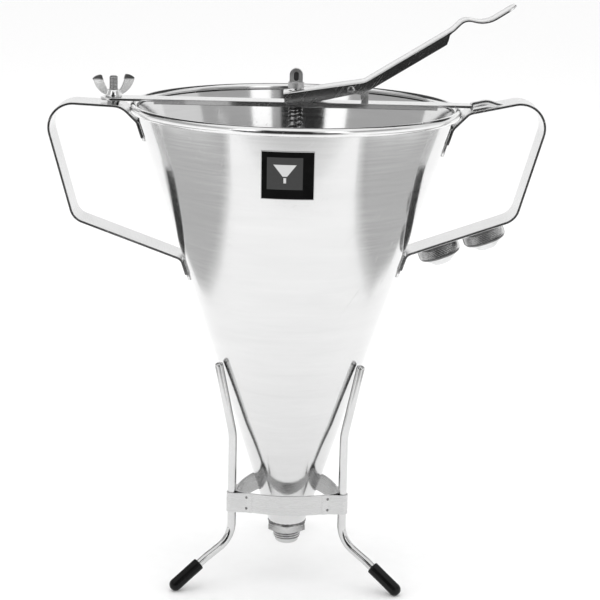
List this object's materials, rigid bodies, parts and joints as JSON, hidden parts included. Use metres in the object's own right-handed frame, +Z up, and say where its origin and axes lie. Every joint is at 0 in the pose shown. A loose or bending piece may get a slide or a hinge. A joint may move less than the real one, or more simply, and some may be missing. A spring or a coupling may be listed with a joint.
{
  "type": "piston funnel with stand",
  "caption": "Conical stainless hopper on a wire stand with strap handles, a sprung valve rod lifted by a thumb lever, and screw-on spare nozzles.",
  "frame": {"origin": "on the table plane, on the hopper's axis, at the centre of the three feet", "axes": "+Z up along the hopper's axis and the valve rod, +X towards the thumb lever, -Y the labelled front"},
  "size_m": [0.2828, 0.19, 0.3435],
  "materials": {
    "hopper_sheet": "fine circumferential brushing, satin",
    "fitting_steel": "turned and polished",
    "strap_steel": "satin strip, polished edges",
    "thread_steel": "bright turned thread",
    "label": "glossy black label with a plain grey panel",
    "bar_steel": "satin strip",
    "pin_steel": "polished rivet",
    "lever_steel": "polished folded sheet",
    "rod_steel": "ground bar",
    "head_metal": "cast and tumbled, light grey",
    "spring_steel": "bright spring wire",
    "wing_nut_metal": "pressed and tumbled",
    "nozzle_metal": "knurled ring, turned tip",
    "wire_steel": "polished wire",
    "band_steel": "satin strip with spot welds",
    "cap_vinyl": "glossy dipped vinyl"
  },
  "bodies": {
    "stand": {"leg_left": "wire_steel", "leg_right": "wire_steel", "leg_rear": "wire_steel", "stand_band": "band_steel", "leg_clip_left": "band_steel", "leg_clip_right": "band_steel", "leg_clip_rear": "band_steel", "foot_cap_left": "cap_vinyl", "foot_cap_right": "cap_vinyl", "foot_cap_rear": "cap_vinyl"},
    "funnel": {"hopper": "hopper_sheet", "outlet_fitting": "fitting_steel", "handle_left": "strap_steel", "handle_right": "strap_steel", "bridge_stud": "thread_steel", "spare_stud_inner": "thread_steel", "spare_stud_outer": "thread_steel", "label_plate": "label", "bridge_bar": "bar_steel", "pivot_bracket": "bar_steel", "pivot_pin": "pin_steel"},
    "lever": {"lever_arm": "lever_steel"},
    "valve": {"valve_rod": "rod_steel", "rod_head": "head_metal", "spring_keeper": "rod_steel", "valve_plug": "rod_steel", "return_spring": "spring_steel"},
    "wing_nut": {"wing_nut": "wing_nut_metal"},
    "spare_nozzle_small": {"nozzle_small": "nozzle_metal"},
    "spare_nozzle_large": {"nozzle_large": "nozzle_metal"}
  },
  "joints": [
    {"name": "funnel_lift", "type": "slide", "parent": "stand", "child": "funnel", "axis": [0, 0, 1], "range_m": [0, 0.15]},
    {"name": "lever_press", "type": "hinge", "parent": "funnel", "child": "lever", "pos_m": [0.0312, 0, 0.2942], "axis": [0, 1, 0], "range_deg": [0, 18], "stiffness_Nm_per_rad": 0.865, "springref_deg": -14.78},
    {"name": "valve_lift", "type": "slide", "parent": "funnel", "child": "valve", "axis": [0, 0, 1], "range_m": [0, 0.0098], "deforming": ["return_spring"]},
    {"name": "wing_nut_turn", "type": "hinge", "parent": "funnel", "child": "wing_nut", "pos_m": [-0.104, 0, 0.288], "axis": [0, 0, 1], "continuous": true},
    {"name": "small_nozzle_off", "type": "slide", "parent": "funnel", "child": "spare_nozzle_small", "axis": [0.3401, 0, -0.9404], "range_m": [0, 0.03]},
    {"name": "large_nozzle_off", "type": "slide", "parent": "funnel", "child": "spare_nozzle_large", "axis": [0.3401, 0, -0.9404], "range_m": [0, 0.03]}
  ],
  "couplings": [
    {"joint": "valve_lift", "follows": "lever_press", "m_per_rad": 0.031}
  ]
}
